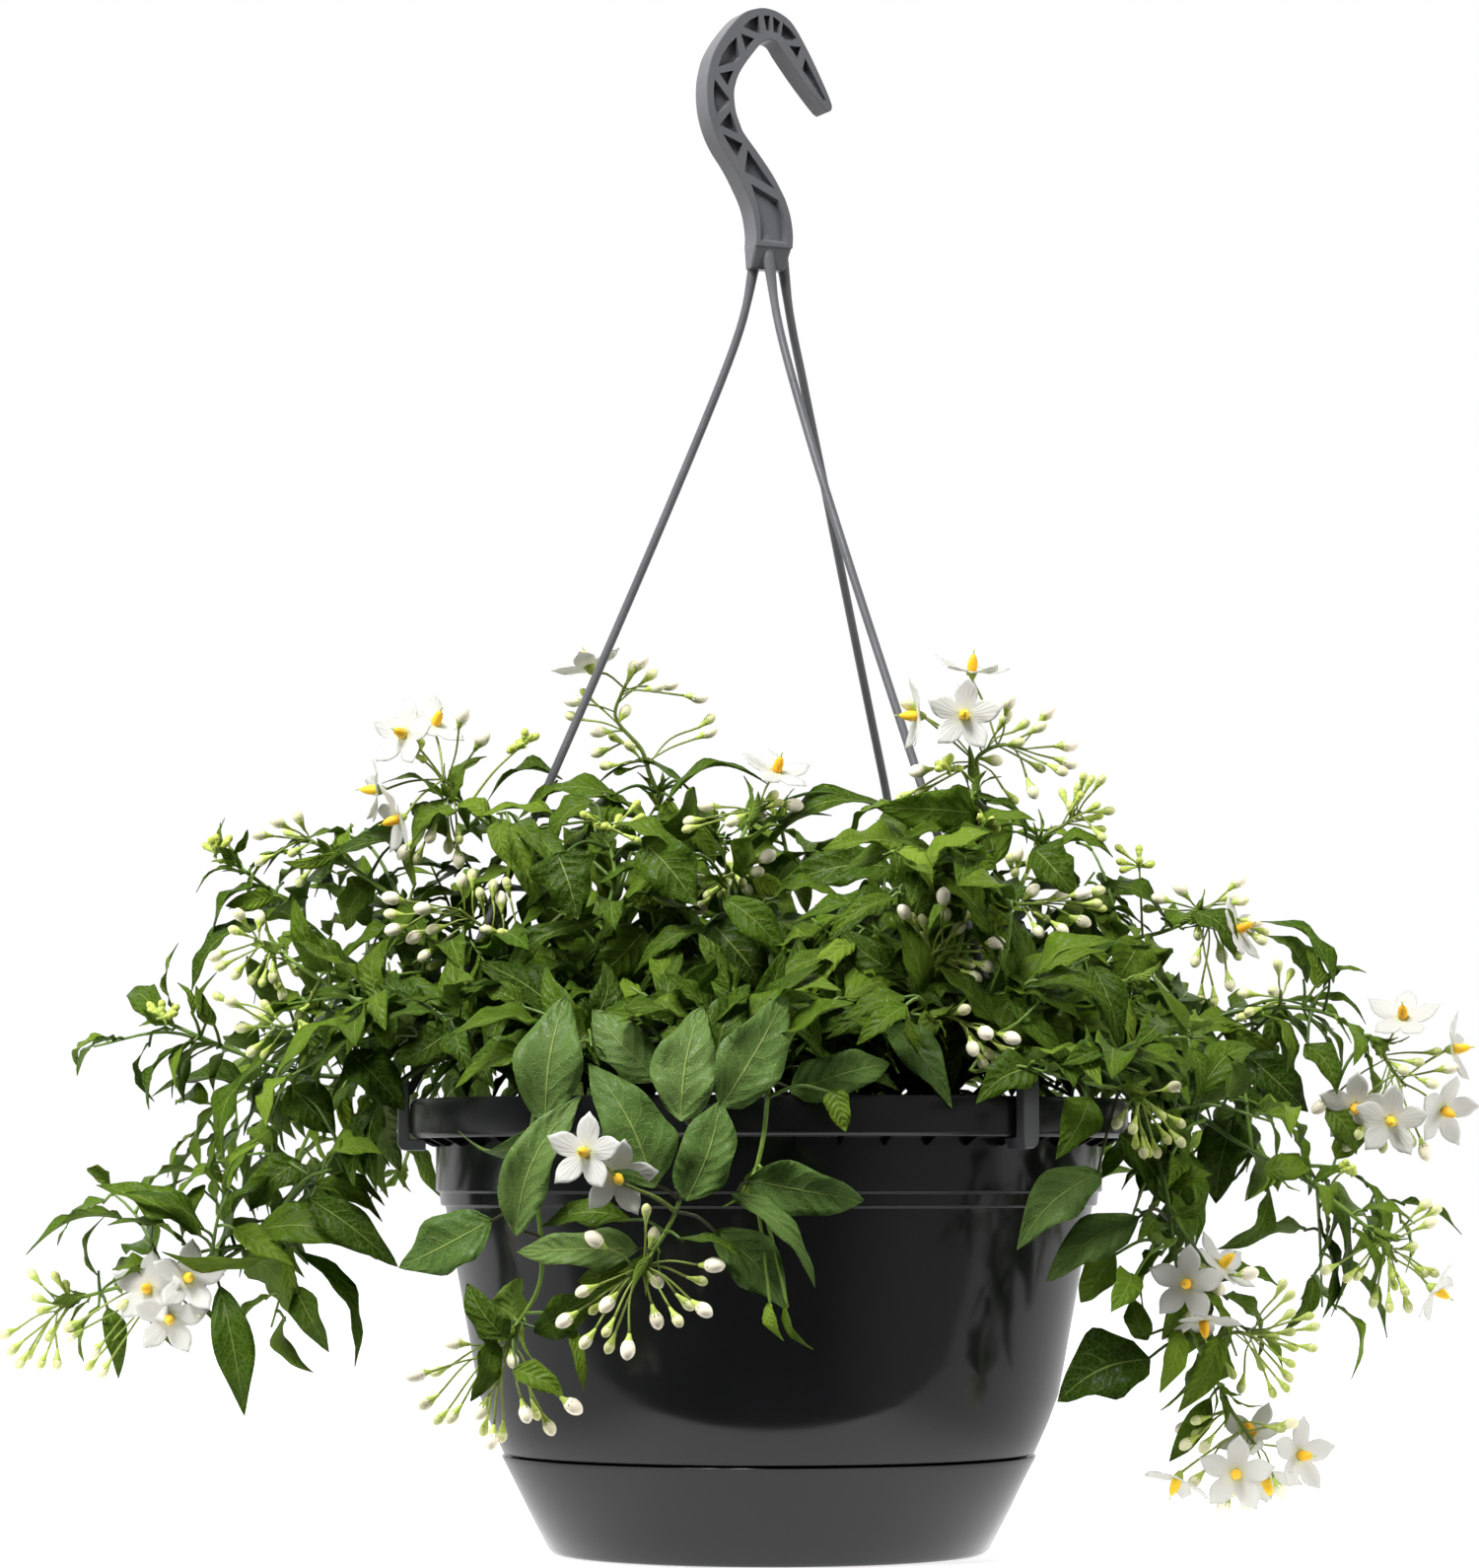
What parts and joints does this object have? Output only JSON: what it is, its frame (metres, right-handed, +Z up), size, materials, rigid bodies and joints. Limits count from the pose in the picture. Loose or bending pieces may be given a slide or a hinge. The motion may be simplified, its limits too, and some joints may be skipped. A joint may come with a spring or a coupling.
{
  "type": "potted potato vine",
  "caption": "Potato vine in bloom in a black hanging pot: a moulded pot with a clip-on drip tray, a grey plastic hook with arms, and white star flowers among green leaves.",
  "frame": {"origin": "the point of the hook's inner bow that bears on the rail or peg it hangs from, on the pot's axis", "axes": "+Z up along the pot's axis, -Y towards the side that the picture shows, +X to that view's right"},
  "size_m": [0.5541, 0.3875, 0.5834],
  "materials": {
    "pot": "satin black moulded",
    "tray": "satin black moulded",
    "hanger": "dark grey moulded",
    "soil": "damp peaty compost",
    "foliage": "leafy green",
    "bloom": "soft petals"
  },
  "bodies": {
    "root": {"pot": "pot", "drip_tray": "tray", "hanger": "hanger", "soil": "soil", "shoot_left_low": "foliage", "shoot_left_mid": "foliage", "shoot_left_spray": "foliage", "shoot_left_high": "foliage", "shoot_left_top": "foliage", "shoot_top_left": "foliage", "shoot_top_front": "foliage", "shoot_top_airy": "foliage", "shoot_top_centre": "foliage", "shoot_top_right": "foliage", "shoot_right_top": "foliage", "shoot_right_upper": "foliage", "shoot_right_arch": "foliage", "shoot_right_low": "foliage", "shoot_right_front": "foliage", "shoot_right_hanging": "foliage", "shoot_front_right": "foliage", "shoot_spray_stem": "foliage", "shoot_front_centre": "foliage", "shoot_front_hanging": "foliage", "shoot_front_left": "foliage", "shoot_right_mid": "foliage", "shoot_crown": "foliage", "shoot_back_1": "foliage", "shoot_back_2": "foliage", "shoot_back_3": "foliage", "shoot_back_4": "foliage", "shoot_back_5": "foliage", "shoot_back_6": "foliage", "shoot_back_7": "foliage", "spray_left_top": "bloom", "spray_left_cluster": "bloom", "spray_airy": "bloom", "spray_crown": "bloom", "spray_centre": "bloom", "spray_top_right": "bloom", "spray_young_right": "bloom", "spray_left_buds": "bloom", "spray_left_lower": "bloom", "spray_left_wisp": "bloom", "spray_right_middle": "bloom", "spray_right_middle_low": "bloom", "spray_right_inner": "bloom", "spray_right_upper": "bloom", "spray_right_knot": "bloom", "spray_right_arch": "bloom", "spray_right_low": "bloom", "spray_hanging_upper": "bloom", "spray_hanging_young": "bloom", "spray_hanging_low": "bloom", "spray_left_low": "bloom", "spray_left_low_flowers": "bloom", "spray_front_flowers": "bloom", "spray_front_hanging": "bloom", "spray_front_left": "bloom", "spray_right_front": "bloom"}
  },
  "joints": []
}
